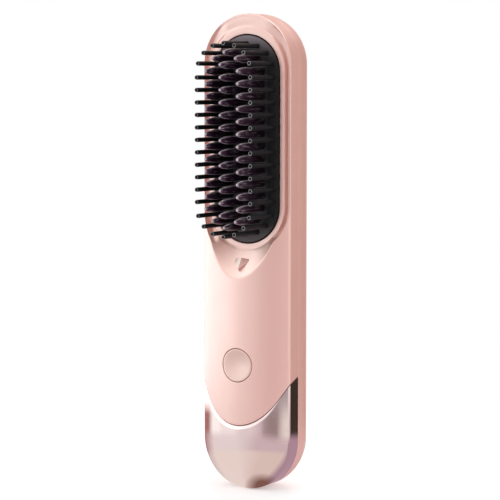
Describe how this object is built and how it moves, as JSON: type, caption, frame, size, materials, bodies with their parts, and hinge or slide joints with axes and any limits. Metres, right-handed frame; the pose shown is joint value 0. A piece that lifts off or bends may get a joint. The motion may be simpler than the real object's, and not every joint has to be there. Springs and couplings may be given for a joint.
{
  "type": "hair straightening brush",
  "caption": "Cordless heated hair brush: slim handle that runs into an oval head with tall heated teeth, cool outer bristles, a round power button, a status light and a mirror-finished end cap.",
  "frame": {"origin": "under the middle of the brush, at the lowest point of its charging end", "axes": "+Z runs along the brush from the charging end to the top of the head, -Y is the bristle side and +X is across the brush"},
  "size_m": [0.042, 0.0472, 0.2],
  "materials": {
    "shell": "satin pink coating",
    "button": "satin pink coating",
    "cap": "rose gold mirror plating",
    "pad": "fine grained black",
    "bristle": "glossy black",
    "plate": "black ceramic coating",
    "tooth": "glossy dark purple ceramic coating",
    "tooth_tip": "translucent heat resistant tip",
    "lens": "frosted pink window",
    "film": "amber film",
    "insulation": "fibre felt",
    "steel": "plain",
    "board": "solder mask",
    "chip": "moulded package",
    "led": "clear resin",
    "ceramic": "glazed",
    "cell": "heat-shrink sleeve over steel",
    "cradle": "moulded",
    "lead": "silicone insulation"
  },
  "bodies": {
    "root": {"front_shell": "shell", "rear_shell": "shell", "end_cap": "cap", "bristle_frame": "pad", "cool_bristles": "bristle", "heating_plate": "plate", "heated_teeth": "tooth", "tooth_tips": "tooth_tip", "heater_film": "film", "heater_insulation": "insulation", "heater_clamp": "steel", "clamp_screws": "steel", "thermistor": "film", "thermal_fuse": "ceramic", "switch_body": "steel", "indicator_lens": "lens", "status_led": "led", "main_board": "board", "controller_chip": "chip", "power_transistors": "chip", "inductor": "chip", "board_screws": "steel", "battery_cells": "cell", "battery_tabs": "steel", "battery_cradle": "cradle", "battery_leads": "lead", "heater_leads": "lead", "charging_board": "board", "charging_socket": "steel", "socket_tongue": "chip", "charging_leads": "lead", "shell_screws": "steel"},
    "button": {"power_button": "button"},
    "plunger": {"switch_plunger": "chip"}
  },
  "joints": [
    {"name": "button_press", "type": "slide", "parent": "root", "child": "button", "axis": [0, 1, 0], "range_m": [0, 0.0005], "stiffness_N_per_m": 1200},
    {"name": "plunger_press", "type": "slide", "parent": "root", "child": "plunger", "axis": [0, 1, 0], "range_m": [0, 0.0005]}
  ],
  "couplings": [
    {"joint": "plunger_press", "follows": "button_press", "ratio": 1}
  ]
}
